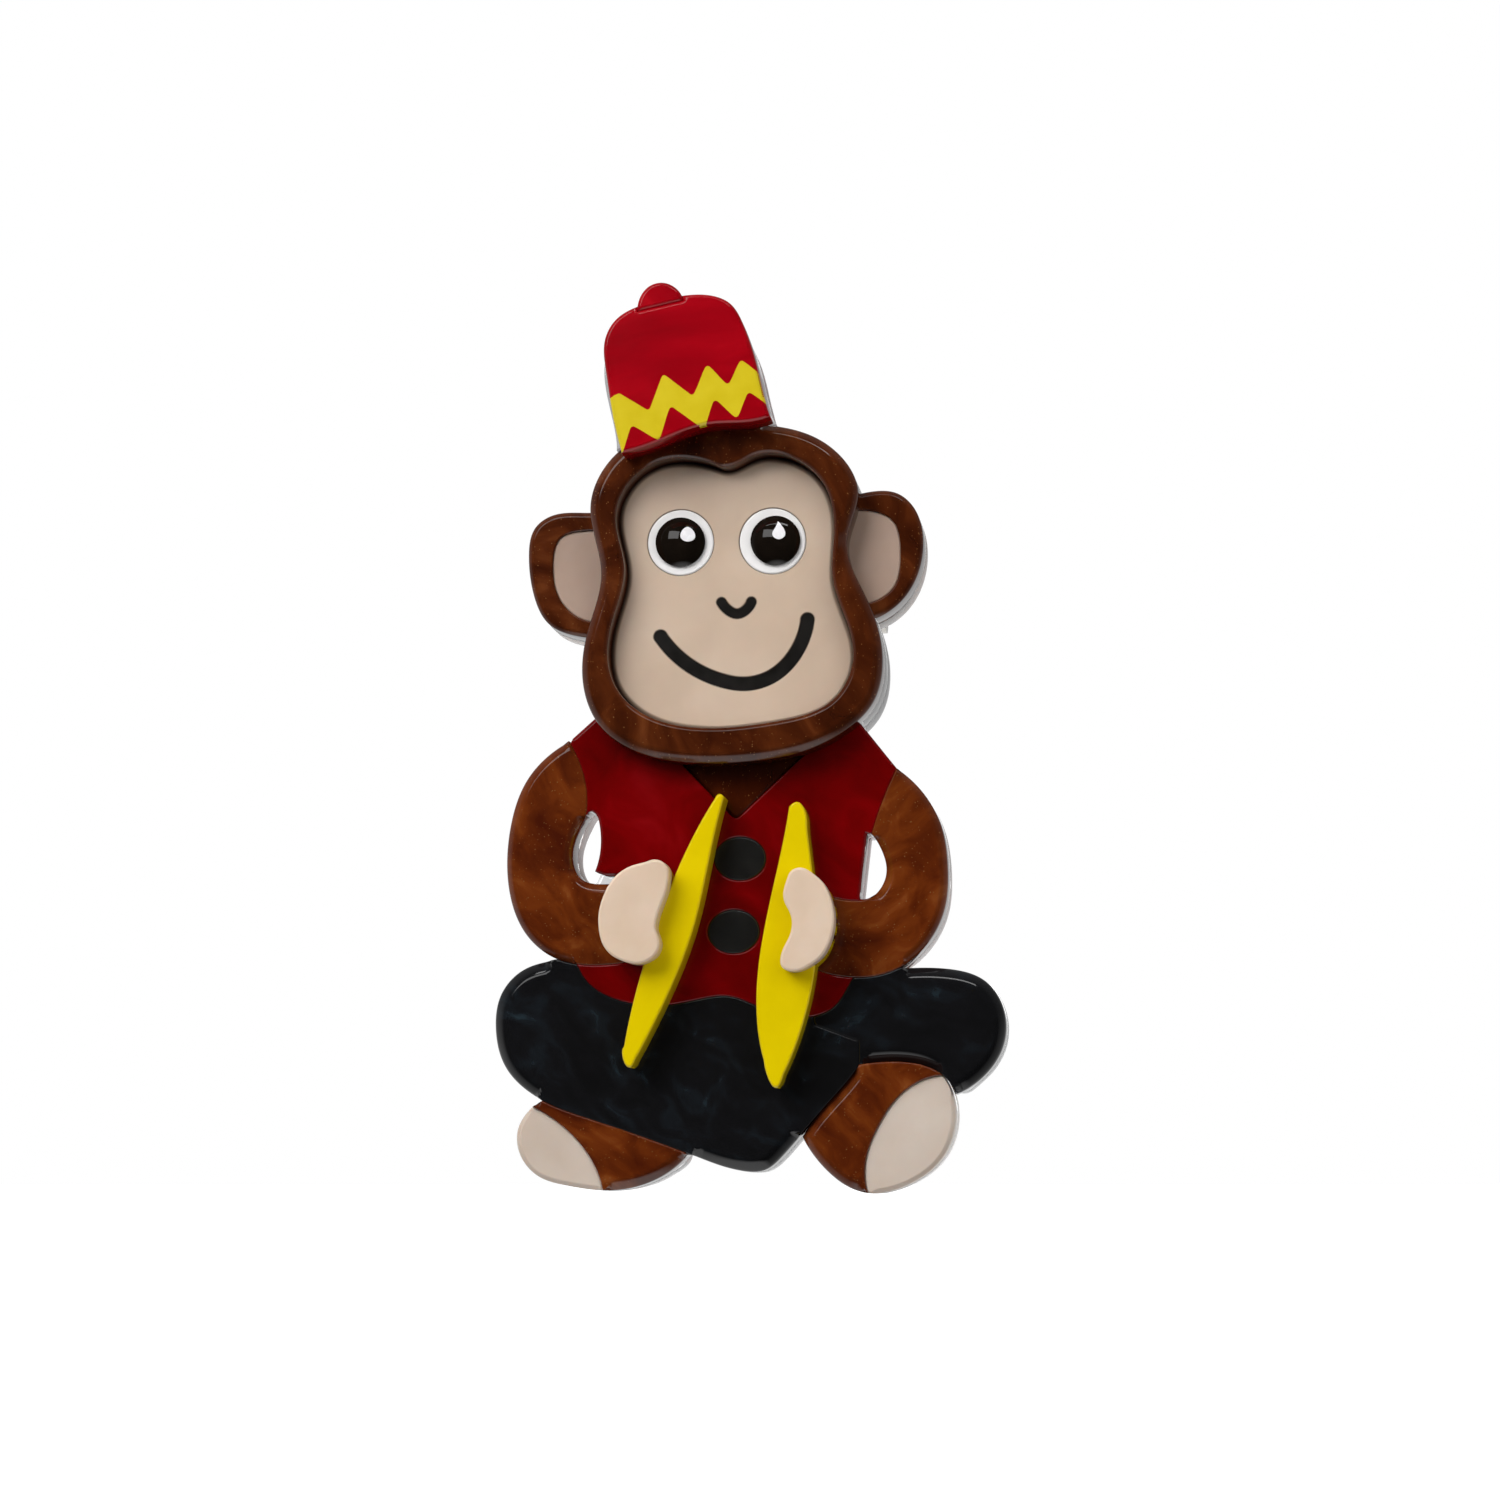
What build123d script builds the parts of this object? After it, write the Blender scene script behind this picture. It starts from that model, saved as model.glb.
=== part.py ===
"""A layered resin brooch: a monkey in a hat and waistcoat, sitting with a pair of cymbals.

The figure is cut from coloured resin sheet and glued up in layers on a clear acrylic backing. A bar
with a hinged pin and a turning safety catch is glued to the back.

Frame: millimetres, upright as it is worn. +Z is up, +X is the viewer's right and the front faces -Y.
The origin is the middle of the closed pin stem. Left and right in names are the viewer's.
"""
from build123d import *
from math import cos, radians, sin
import os

# Sheet stock, and the layers counted forward from the back of the backing plate.
STEM_TO_BACKING = 4.0
SHEET = 3.0
BODY_LAYER = SHEET
HEAD_LAYER = 2 * SHEET
HAT_LAYER = 3 * SHEET
FACE_SHEET = 0.8
HAND_SHEET = 2.0
BACKING_MARGIN = 0.04
GROWN_SPACING = 1.2

# How much lower than a full sheet the inset pieces sit.
CHEST_SINK = 0.5
INNER_EAR_SINK = 0.2
SOLE_SINK = 0.25

# Polished edge radii of the pieces that stand free. The rest are square here.
HEAD_EDGE = 0.4
EAR_EDGE = 0.7
HAND_EDGE = 0.3
INLAY_EDGE = 0.15

# Eyes, nose, mouth and buttons.
EYE_HEIGHT = 3.8
LEFT_EYE_X = -4.2
RIGHT_EYE_X = 3.2
EYE_WHITE_RADIUS = 2.65
PUPIL_RADIUS = 2.0
PUPIL_RISE = 0.75
PUPIL_BASE = 0.25
GLINT_RISE = 0.12
EYE_INLAY = 0.5
NOSE_WIDTH = 0.75
MOUTH_WIDTH = 1.05
ENGRAVING_DEPTH = 0.5
ENGRAVING_SHY = 0.12
BUTTON_HALF_WIDTH = 2.1
BUTTON_HALF_HEIGHT = 1.75
BUTTON_DEPTH = 1.2
ZIGZAG_DEPTH = 1.0

# The bar pin on the back: a 25 mm bar, a 0.9 mm pin wire and a turning catch.
BAR_LENGTH = 25.0
BAR_WIDTH = 4.6
BAR_THICKNESS = 0.8
BAR_HOLE_RADIUS = 0.8
BAR_HOLE_X = 5.0
GLUE_RISE = 0.3
STEM_RADIUS = 0.45
STEM_WALL_HALF = 8.7
STEM_NECK_RADIUS = 0.6
STEM_TIP_RADIUS = 0.1
HINGE_X = -10.6
CATCH_X = 10.4
RIVET_RADIUS = 0.45
RIVET_HEAD_RADIUS = 0.85
RIVET_HEAD_THICKNESS = 0.3
RIVET_CLEARANCE = 0.05
EYE_RADIUS = 1.15
EYE_THICKNESS = 1.3
HINGE_SIDE_GAP = 0.1
HINGE_EAR_THICKNESS = 0.6
HINGE_EAR_RADIUS = 1.3
CATCH_LENGTH = 2.4
CATCH_OUTER_RADIUS = 2.2
CATCH_BORE_RADIUS = 1.55
CATCH_MOUTH_HALF = 0.8
CATCH_FOOT_HALF = 1.4
ROTOR_RADIUS = 1.5
ROTOR_BORE_RADIUS = 0.75
TAB_WIDTH = 0.6
TAB_THICKNESS = 0.6
TAB_REACH = 3.1
TAB_ANGLE = 62.0
TAB_SLOT_WIDTH = 0.8
TAB_TRAVEL = 90.0
TAB_SLOT_SPARE = 22.0

BACK_Y = -STEM_TO_BACKING
BAR_TOP_Y = BACK_Y + BAR_THICKNESS
STEM_END_X = BAR_LENGTH / 2 - 0.4


# ---------------------------------------------------------------- drawing helpers

def at_height(height):
    """The drawing plane at a height in front of the backing plate's back face."""
    return Plane.XZ.offset(STEM_TO_BACKING + height)


def outline(*spans):
    """A face inside spans of points. Each span is one smooth edge that ends where the next begins."""
    edges = []
    for number, span in enumerate(spans):
        points = span + [spans[(number + 1) % len(spans)][0]]
        edges.append(Line(*points) if len(points) == 2 else Spline(*points))
    return make_face(edges)


def loop(*points):
    """A face inside one smooth closed curve."""
    return make_face([Spline(*points, periodic=True)])


def round_front(piece, radius):
    """Round the edges all round the piece's front face."""
    front = piece.faces().sort_by(Axis.Y)[0]
    return fillet(front.edges(), radius)


def sheet(face, height, thickness=SHEET, edge=0):
    """A piece of sheet standing on a layer, with its front edge rounded."""
    piece = extrude(at_height(height) * face, thickness)
    return round_front(piece, edge) if edge else piece


def through(face):
    """The space in front of and behind a face, for cutting."""
    return extrude(at_height(-1) * face, 4 * SHEET + 4)


def grown(face, margin):
    """A face a little larger all round, inside one smooth closed curve."""
    wire = face.face().outer_wire()
    count = round(wire.length / GROWN_SPACING)
    places = [(number + 0.5) / count for number in range(count)]
    points = [wire @ place for place in places]
    turn = sum(a.X * b.Y - b.X * a.Y for a, b in zip(points, points[1:] + points[:1]))
    outward = margin if turn > 0 else -margin
    ahead = [(wire % place).normalized() for place in places]
    return loop(*[(p.X + outward * a.Y, p.Y - outward * a.X) for p, a in zip(points, ahead)])


def fused(faces):
    """One face that covers several that overlap."""
    first, *others = faces
    return Sketch() + first + others


def stroke(width, *points):
    """A line of a given width along a smooth path, with round ends a hair wider than the line."""
    line = trace(Spline(*points), width)
    for end in (points[0], points[-1]):
        line += Pos(*end) * Circle(width / 2 + 0.01)
    return line


# ---------------------------------------------------------------- outlines

def head_outline():
    return loop((-2.4, 13.0), (3.7, 12.8), (7.8, 11.2), (10.2, 7.2), (9.3, 3.4), (10.8, -1.1),
                (12.1, -6.2), (11.3, -9.6), (9.2, -11.7), (6.3, -13.2), (1.8, -14.1), (-2.7, -14.2),
                (-7.1, -13.4), (-10.4, -11.2), (-11.8, -7.9), (-11.5, -3.6), (-10.4, 1.2),
                (-11.3, 6.6), (-9.9, 10.1), (-7.3, 12.1))


def face_outline():
    return loop((-0.8, 9.6), (-2.7, 10.2), (-5.7, 10.1), (-8.0, 8.6), (-9.2, 5.7), (-8.5, 1.6),
                (-9.6, -3.4), (-9.3, -7.8), (-7.3, -10.0), (-2.6, -11.4), (3.5, -11.0), (8.3, -9.2),
                (9.8, -5.8), (8.2, 0.3), (8.3, 4.9), (7.0, 8.7), (4.0, 10.5), (1.6, 10.3))


def ear_outlines():
    """The outer and inner outlines of the left ear, then of the right one."""
    left = outline([(-9.4, 7.0), (-12.8, 6.6), (-14.8, 6.4), (-16.2, 5.4), (-16.7, 3.1), (-16.3, 0.0),
                    (-15.0, -2.5), (-13.1, -3.4)], [(-9.4, -3.7)])
    left_inner = outline([(-10.0, 5.0), (-12.8, 5.0), (-14.1, 4.5), (-14.7, 2.5), (-14.0, -0.7),
                          (-12.6, -2.0)], [(-10.0, -2.2)])
    right = outline([(8.6, 7.3), (11.4, 7.9), (13.1, 7.7), (14.4, 6.6), (15.2, 3.8), (14.6, 0.7),
                     (13.3, -1.2), (11.9, -2.2)], [(8.6, -2.8)])
    right_inner = outline([(9.1, 6.2), (11.3, 6.2), (12.6, 5.6), (13.4, 2.6), (12.8, 0.0),
                           (11.7, -0.9)], [(9.1, -1.0)])
    return left, left_inner, right, right_inner


def arm_outlines():
    left = outline([(-13.3, -12.0), (-15.0, -13.1), (-16.7, -15.0), (-18.1, -19.0), (-18.2, -23.6),
                    (-16.8, -27.4), (-14.6, -29.3), (-11.6, -30.0)],
                   [(-7.6, -29.6)],
                   [(-7.6, -23.5), (-10.4, -23.5), (-12.4, -23.0), (-13.0, -21.2), (-12.6, -19.4)],
                   [(-11.9, -18.0), (-11.8, -16.5), (-12.2, -14.4)])
    right = outline([(6.6, -24.5), (8.5, -24.9), (10.8, -24.8), (12.1, -22.9), (11.8, -21.1)],
                    [(11.0, -19.7), (11.9, -17.0)],
                    [(13.0, -14.5), (14.8, -16.1), (16.4, -18.8), (17.0, -22.4), (16.7, -25.8),
                     (15.3, -28.5), (12.8, -30.5), (9.8, -31.1)],
                    [(6.6, -30.5)])
    return left, right


def armhole_outlines():
    left = outline([(-10.9, -18.3), (-11.5, -17.7)],
                   [(-11.9, -18.0), (-12.6, -19.4), (-13.0, -21.2), (-12.4, -23.0)],
                   [(-11.6, -23.4), (-11.2, -22.6)])
    right = outline([(10.0, -24.9), (10.8, -24.8), (12.1, -22.9), (11.8, -21.1)],
                    [(11.0, -19.7)],
                    [(10.6, -19.7)])
    return left, right


def torso_outline():
    """The waistcoat before the arms, the neck and the armholes are cut out of it."""
    return outline([(-11.2, -10.2)], [(-13.0, -11.8)], [(-13.8, -13.6)], [(-13.8, -28.0)],
                   [(-12.4, -30.2), (-11.4, -31.6), (-8.8, -32.9), (-5.4, -33.2), (-2.0, -32.6),
                    (-0.6, -32.5), (1.4, -33.1), (3.6, -34.0), (5.8, -34.2), (7.8, -33.5),
                    (9.0, -31.9)],
                   [(9.9, -30.4)], [(14.0, -26.0)], [(14.0, -16.8)], [(13.0, -14.5)], [(9.6, -10.2)])


def wrist_gap_outline():
    """The strip between the waistcoat and the left forearm, open down to the backing."""
    return outline([(-11.4, -22.4)], [(-10.2, -22.9)], [(-7.6, -22.9)], [(-7.6, -24.2)],
                   [(-11.4, -24.2)])


def neck_outline():
    """The V of the chest, its top hidden by the head."""
    return outline([(-6.2, -11.9)], [(-0.2, -18.2), (0.1, -18.35)], [(0.5, -18.2)], [(7.2, -11.9)])


def front_leg_outline():
    return outline([(-10.0, -28.0), (-14.2, -29.5), (-17.0, -30.3), (-18.8, -32.3), (-19.2, -34.9),
                    (-18.4, -38.0), (-16.2, -40.2), (-11.7, -42.1), (-3.4, -45.0), (0.9, -46.3),
                    (2.4, -46.2), (3.8, -45.1), (7.3, -41.1), (9.4, -38.7)],
                   [(9.9, -38.0)], [(9.9, -36.1)], [(6.4, -34.8)], [(5.8, -30.0)])


def rear_leg_outline():
    return outline([(6.0, -30.3), (12.8, -30.4), (16.9, -30.4), (19.9, -31.4), (21.3, -33.6),
                    (21.3, -36.4), (19.9, -38.7)],
                   [(17.5, -40.3), (16.4, -38.7), (14.5, -37.9)],
                   [(9.6, -38.0)], [(5.4, -36.5)], [(5.4, -31.0)])


def left_foot_outline():
    """The whole foot, with its upper side under the leg."""
    return outline([(-15.2, -40.7), (-16.3, -41.4), (-17.3, -43.0), (-17.1, -45.0), (-15.6, -46.7),
                    (-13.4, -47.4), (-9.8, -47.8), (-6.6, -47.1)],
                   [(-3.7, -45.0), (-9.0, -41.0)])


def left_sole_outline():
    return outline([(-16.3, -41.1), (-12.9, -43.4), (-11.2, -45.6)],
                   [(-10.3, -48.4)], [(-18.5, -48.4)], [(-18.5, -41.1)])


def right_foot_outline():
    return outline([(9.9, -38.0), (9.4, -38.7), (7.3, -41.1)],
                   [(5.4, -43.6), (7.6, -46.5), (10.0, -47.9), (14.0, -47.2), (16.6, -45.0),
                    (17.5, -41.8)],
                   [(16.6, -38.9), (14.0, -36.0)])


def right_sole_outline():
    return outline([(10.8, -48.6), (10.4, -45.6), (11.4, -42.8), (13.3, -40.2)],
                   [(16.6, -38.8)], [(18.5, -39.0)], [(18.5, -48.6)])


def hat_outline():
    return outline([(-8.3, 10.2), (-8.9, 12.6), (-9.6, 16.9), (-9.7, 19.3), (-8.8, 21.0), (-6.8, 22.1),
                    (-3.5, 22.8), (-1.4, 22.8), (0.3, 22.1), (1.4, 20.3), (2.4, 17.2)],
                   [(3.5, 12.9), (1.8, 12.5), (-1.1, 12.4), (-3.8, 11.7), (-6.4, 10.7)])


def pompom_outline():
    return outline([(-7.1, 21.6), (-6.9, 22.7), (-6.2, 23.6), (-5.1, 23.9), (-4.1, 23.5)],
                   [(-3.4, 22.4)])


def zigzag_outline():
    """The lightning band, a touch past the hat's sides, which trim it."""
    points = [(-10.0, 14.2), (-8.5, 15.0), (-6.1, 13.5), (-5.0, 16.5), (-2.6, 14.6), (-1.5, 17.2),
              (0.2, 15.4), (1.2, 17.5), (4.6, 14.8), (4.6, 12.9), (1.8, 14.9), (0.9, 12.7),
              (-0.9, 14.4), (-1.7, 11.9), (-4.4, 13.9), (-5.3, 11.1), (-7.5, 12.4), (-8.3, 9.9),
              (-9.8, 12.4)]
    band = make_face(Polyline(*points, close=True))
    return fillet(band.vertices(), 0.22)


def hat_spacer_outline():
    """The clear layers under the hat, which show past its lower left side."""
    return outline([(-9.1, 10.9), (-10.1, 16.8), (-10.0, 18.6), (-9.0, 20.4)],
                   [(-3.5, 22.6), (-1.5, 22.6), (0.1, 21.9), (1.3, 20.2), (2.2, 17.2)],
                   [(3.9, 12.6)])


def hand_outlines():
    left = loop((-6.1, -22.1), (-5.3, -22.1), (-4.7, -22.6), (-4.6, -23.5), (-4.8, -24.6),
                (-5.2, -25.7), (-5.55, -26.8), (-5.6, -27.5), (-5.35, -28.2), (-5.3, -28.8),
                (-5.6, -29.5), (-6.3, -30.0), (-7.1, -30.2), (-8.1, -30.0), (-9.1, -29.5),
                (-9.8, -28.6), (-10.1, -27.4), (-10.1, -26.1), (-9.8, -25.0), (-9.2, -23.8),
                (-8.3, -22.9), (-7.2, -22.4))
    right = loop((5.2, -22.9), (6.0, -22.8), (6.7, -23.2), (7.4, -23.8), (8.2, -25.4), (8.4, -26.6),
                 (8.3, -27.7), (8.0, -28.7), (7.4, -29.7), (6.5, -30.4), (5.6, -30.8), (4.8, -30.8),
                 (4.3, -30.5), (4.2, -29.8), (4.45, -29.0), (4.9, -28.1), (5.1, -27.1), (4.9, -26.2),
                 (4.5, -25.4), (4.45, -24.5), (4.7, -23.7))
    return left, right


def cymbal_outlines():
    left = outline([(-0.45, -16.95), (-1.6, -21.8), (-2.8, -27.1), (-5.0, -32.8)],
                   [(-7.5, -37.7), (-8.0, -38.2), (-8.4, -37.6)],
                   [(-8.35, -36.6), (-7.5, -32.6), (-6.0, -27.6), (-3.8, -21.9)],
                   [(-1.2, -17.1), (-0.8, -16.7)])
    right = outline([(6.0, -18.2), (6.5, -22.6), (6.9, -28.0), (6.1, -33.7)],
                    [(4.2, -38.9), (3.5, -39.8), (3.0, -39.0)],
                    [(2.7, -37.8), (2.1, -33.4), (2.8, -27.0)],
                    [(4.7, -17.8), (5.3, -17.4)])
    return left, right


# ---------------------------------------------------------------- the figure

def head_pieces():
    """The head ring, the face sunk in it and what is set into the face."""
    ring = sheet(head_outline() - face_outline(), HEAD_LAYER, edge=HEAD_EDGE)
    face = sheet(face_outline(), HEAD_LAYER, FACE_SHEET)
    parts = {"head_ring": ring}
    face_front = HEAD_LAYER + FACE_SHEET
    nose = stroke(NOSE_WIDTH, (-0.9, -1.1), (-0.35, -1.75), (0.35, -2.05), (1.05, -1.75), (1.5, -1.1))
    mouth = stroke(MOUTH_WIDTH, (-5.8, -3.8), (-3.7, -6.0), (-0.9, -7.4), (1.2, -7.7), (3.2, -7.1),
                   (4.9, -5.5), (6.0, -2.6))
    for name, line in (("nose", nose), ("mouth", mouth)):
        groove = extrude(at_height(face_front - ENGRAVING_DEPTH) * line, ENGRAVING_DEPTH)
        face -= groove
        parts[name] = extrude(at_height(face_front - ENGRAVING_DEPTH) * line,
                              ENGRAVING_DEPTH - ENGRAVING_SHY)
    for side, eye_x, pupil_x, glint in (("left", LEFT_EYE_X, LEFT_EYE_X, left_glint()),
                                        ("right", RIGHT_EYE_X, RIGHT_EYE_X + 0.25, right_glint())):
        centre = Pos(eye_x, EYE_HEIGHT)
        white = extrude(at_height(face_front - EYE_INLAY) * (centre * Circle(EYE_WHITE_RADIUS)), EYE_INLAY)
        face -= white
        parts[f"{side}_eye_white"] = white
        parts[f"{side}_pupil"], parts[f"{side}_eye_glint"] = pupil(pupil_x, face_front, glint)
    parts["face"] = face
    return parts


def pupil(x, height, glint):
    """A glossy domed pupil on a short cylinder, and the drop of white paint on it."""
    crown_radius = (PUPIL_RADIUS ** 2 + PUPIL_RISE ** 2) / (2 * PUPIL_RISE)
    front = STEM_TO_BACKING + height
    drop = front + PUPIL_BASE + PUPIL_RISE - crown_radius
    base = extrude(at_height(height) * (Pos(x, EYE_HEIGHT) * Circle(PUPIL_RADIUS)),
                   PUPIL_BASE + PUPIL_RISE)
    ball = Pos(x, -drop, EYE_HEIGHT) * Sphere(crown_radius)
    skin = Pos(x, -drop, EYE_HEIGHT) * Sphere(crown_radius + GLINT_RISE)
    column = extrude(at_height(height) * (Pos(x, EYE_HEIGHT) * glint),
                     PUPIL_BASE + PUPIL_RISE + GLINT_RISE)
    return base & ball, (column & skin) - ball


def left_glint():
    return outline([(0.62, 1.12), (1.15, 0.75), (1.25, 0.25), (0.7, -0.1), (0.12, 0.25), (0.2, 0.75)])


def right_glint():
    return outline([(0.25, 1.45), (0.7, 0.9), (0.85, 0.3), (0.35, -0.05), (-0.15, 0.3), (0.05, 0.9)])


def ear_pieces():
    left, left_inner, right, right_inner = ear_outlines()
    parts = {}
    for side, outer, inner in (("left", left, left_inner), ("right", right, right_inner)):
        parts[f"{side}_ear"] = sheet(outer, BODY_LAYER, edge=EAR_EDGE) - through(inner)
        parts[f"{side}_inner_ear"] = sheet(inner, BODY_LAYER, SHEET - INNER_EAR_SINK)
    return parts


def hat_pieces():
    pompom = through(pompom_outline())
    crown = sheet(hat_outline() + pompom_outline(), HAT_LAYER)
    band = through(zigzag_outline()) & extrude(
        at_height(HAT_LAYER + SHEET - ZIGZAG_DEPTH) * hat_outline(), ZIGZAG_DEPTH)
    zigzag = crown & band
    return {"hat": crown - pompom - band, "hat_pompom": crown & pompom, "hat_zigzag": zigzag}


def vest_outline():
    """The torso without what is cut out of it, and without the crumbs that the cuts leave."""
    vest = torso_outline()
    for cut in arm_outlines() + armhole_outlines() + (wrist_gap_outline(), neck_outline()):
        vest -= cut
    return vest.faces().sort_by(SortBy.AREA)[-1]


def body_pieces():
    """The waistcoat, chest, buttons and arms."""
    left_arm, right_arm = arm_outlines()
    vest = sheet(vest_outline(), BODY_LAYER)
    parts = {
        "left_arm": sheet(left_arm, BODY_LAYER),
        "right_arm": sheet(right_arm, BODY_LAYER),
        "chest": sheet(neck_outline(), BODY_LAYER, SHEET - CHEST_SINK),
    }
    for name, x, z in (("upper_button", 0.5, -21.6), ("lower_button", 0.0, -27.4)):
        disc = Pos(x, z) * Ellipse(BUTTON_HALF_WIDTH, BUTTON_HALF_HEIGHT)
        button = extrude(at_height(BODY_LAYER + SHEET - BUTTON_DEPTH) * disc, BUTTON_DEPTH)
        vest -= button
        parts[name] = round_front(button, INLAY_EDGE)
    parts["vest"] = vest
    return parts


def leg_pieces():
    """Two legs, each butted against what it meets, and two feet with a lower, paler sole."""
    taken = fused(upper_body_outlines())
    front = front_leg_outline() - taken
    rear = rear_leg_outline() - taken - front_leg_outline()
    left_foot = left_foot_outline() - front_leg_outline()
    right_foot = right_foot_outline() - front_leg_outline() - rear_leg_outline()
    parts = {"front_trouser_leg": sheet(front, BODY_LAYER), "rear_trouser_leg": sheet(rear, BODY_LAYER)}
    for side, foot, sole in (("left", left_foot, left_sole_outline()),
                             ("right", right_foot, right_sole_outline())):
        parts[f"{side}_foot"] = sheet(foot - sole, BODY_LAYER)
        parts[f"{side}_sole"] = sheet(foot & sole, BODY_LAYER, SHEET - SOLE_SINK)
    return parts


def cymbal_pieces():
    """The cymbals, the hands on them and the clear spacers that level the hands."""
    parts = {}
    for side, cymbal, hand in zip(("left", "right"), cymbal_outlines(), hand_outlines()):
        parts[f"{side}_cymbal"] = sheet(cymbal, HEAD_LAYER)
        parts[f"{side}_hand"] = sheet(hand, HAT_LAYER, HAND_SHEET, edge=HAND_EDGE)
        parts[f"{side}_hand_spacer"] = sheet(hand - cymbal, HEAD_LAYER)
    return parts


def clear_pieces():
    """The acrylic backing, a little larger than what is on it, and the head's and hat's spacers."""
    backing = fused([grown(face, BACKING_MARGIN) for face in silhouette_outlines()])
    for hole in armhole_outlines():
        backing -= hole
    left_ear, _, right_ear, _ = ear_outlines()
    under_head = head_outline() - vest_outline() - neck_outline() - left_ear - right_ear
    return {
        "backing_plate": sheet(backing, 0),
        "head_spacer": sheet(under_head, BODY_LAYER),
        "hat_spacer": sheet(hat_spacer_outline() - head_outline(), BODY_LAYER, 2 * SHEET),
    }


# ---------------------------------------------------------------- the bar pin

def pin_base():
    """The bar with its two hinge ears and the housing of the catch."""
    bar = extrude(at_height(0) * SlotOverall(BAR_LENGTH, BAR_WIDTH), -BAR_THICKNESS)
    bar = fillet(bar.faces().sort_by(Axis.Y)[-1].edges(), 0.2)
    for x in (-BAR_HOLE_X, BAR_HOLE_X):
        bar -= Pos(x, BACK_Y, 0) * Rot(90, 0, 0) * Cylinder(BAR_HOLE_RADIUS, 4)
    for side in (-1, 1):
        z = side * (EYE_THICKNESS / 2 + HINGE_SIDE_GAP + HINGE_EAR_THICKNESS / 2)
        foot = Pos(HINGE_X, BAR_TOP_Y / 2, z) * Box(2 * HINGE_EAR_RADIUS, -BAR_TOP_Y, HINGE_EAR_THICKNESS)
        knuckle = Pos(HINGE_X, 0, z) * Cylinder(HINGE_EAR_RADIUS, HINGE_EAR_THICKNESS)
        bar += foot + knuckle
    bar -= Pos(HINGE_X, 0, 0) * Cylinder(RIVET_RADIUS, 6)
    return bar + catch_housing()


def catch_housing():
    """A C-shaped barrel on a foot, with its mouth away from the figure and a slot for the tab."""
    along_x = Pos(CATCH_X, 0, 0) * Rot(0, 90, 0)
    foot = Pos(CATCH_X, BAR_TOP_Y / 2, 0) * Box(CATCH_LENGTH, -BAR_TOP_Y, 2 * CATCH_FOOT_HALF)
    barrel = along_x * Cylinder(CATCH_OUTER_RADIUS, CATCH_LENGTH)
    housing = foot + barrel - along_x * Cylinder(CATCH_BORE_RADIUS, CATCH_LENGTH + 1)
    mouth = Pos(CATCH_X, 2, 0) * Box(CATCH_LENGTH + 1, 4, 2 * CATCH_MOUTH_HALF)
    slot_start = TAB_ANGLE - TAB_SLOT_SPARE
    slot_end = TAB_ANGLE + TAB_TRAVEL + TAB_SLOT_SPARE
    return housing - mouth - sector(TAB_SLOT_WIDTH, 0.2, TAB_REACH + 0.1, slot_start, slot_end)


def sector(length, inner, outer, start, end):
    """A slice of a disc about the stem's line, between two angles that run from +Y towards +Z."""
    def rim(radius, angle):
        return (radius * cos(radians(angle)), radius * sin(radians(angle)))
    middle = (start + end) / 2
    face = make_face([
        Line(rim(inner, start), rim(outer, start)),
        ThreePointArc(rim(outer, start), rim(outer, middle), rim(outer, end)),
        Line(rim(outer, end), rim(inner, end)),
        ThreePointArc(rim(inner, end), rim(inner, middle), rim(inner, start))])
    plane = Plane(origin=(CATCH_X - length / 2, 0, 0), x_dir=(0, 1, 0), z_dir=(1, 0, 0))
    return extrude(plane * face, length)


def catch_rotor():
    """The turning ring inside the housing. Its gap lets the stem in, and a tab turns it."""
    along_x = Pos(CATCH_X, 0, 0) * Rot(0, 90, 0)
    ring = along_x * Cylinder(ROTOR_RADIUS, CATCH_LENGTH) - along_x * Cylinder(ROTOR_BORE_RADIUS, 5)
    ring -= Pos(CATCH_X, 2, 0) * Box(CATCH_LENGTH + 1, 4, 2 * ROTOR_BORE_RADIUS)
    reach = TAB_REACH - ROTOR_RADIUS + 0.4
    tab = Pos(ROTOR_RADIUS - 0.4 + reach / 2, 0, 0) * Box(reach, TAB_THICKNESS, TAB_WIDTH)
    tab = fillet(tab.edges().filter_by(Axis.Z).sort_by(Axis.X)[-2:], 0.25)
    plane = Plane(origin=(CATCH_X, 0, 0), x_dir=(0, 1, 0), z_dir=(1, 0, 0))
    return ring + plane * (Rot(0, 0, TAB_ANGLE) * tab)


def pin_stem():
    """The pin wire, which swells into a flattened hinge eye and is ground to a point."""
    eye = Pos(HINGE_X, 0, 0) * Cylinder(EYE_RADIUS, EYE_THICKNESS)
    wire = Rot(0, 90, 0) * Cylinder(STEM_RADIUS, 2 * STEM_WALL_HALF)
    neck_length = -STEM_WALL_HALF - HINGE_X
    neck = Pos(HINGE_X + neck_length / 2, 0, 0) * Rot(0, 90, 0) * Cone(
        STEM_NECK_RADIUS, STEM_RADIUS, neck_length)
    tip_length = STEM_END_X - STEM_WALL_HALF
    tip = Pos(STEM_END_X - tip_length / 2, 0, 0) * Rot(0, 90, 0) * Cone(
        STEM_RADIUS, STEM_TIP_RADIUS, tip_length)
    pin = eye + neck + wire + tip
    return pin - Pos(HINGE_X, 0, 0) * Cylinder(RIVET_RADIUS + RIVET_CLEARANCE, 4)


def hinge_rivet():
    half = EYE_THICKNESS / 2 + HINGE_SIDE_GAP + HINGE_EAR_THICKNESS
    rivet = Cylinder(RIVET_RADIUS, 2 * half)
    for side in (-1, 1):
        head = Pos(0, 0, side * (half + RIVET_HEAD_THICKNESS / 2)) * Cylinder(
            RIVET_HEAD_RADIUS, RIVET_HEAD_THICKNESS)
        rivet += head
    return Pos(HINGE_X, 0, 0) * rivet


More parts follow.
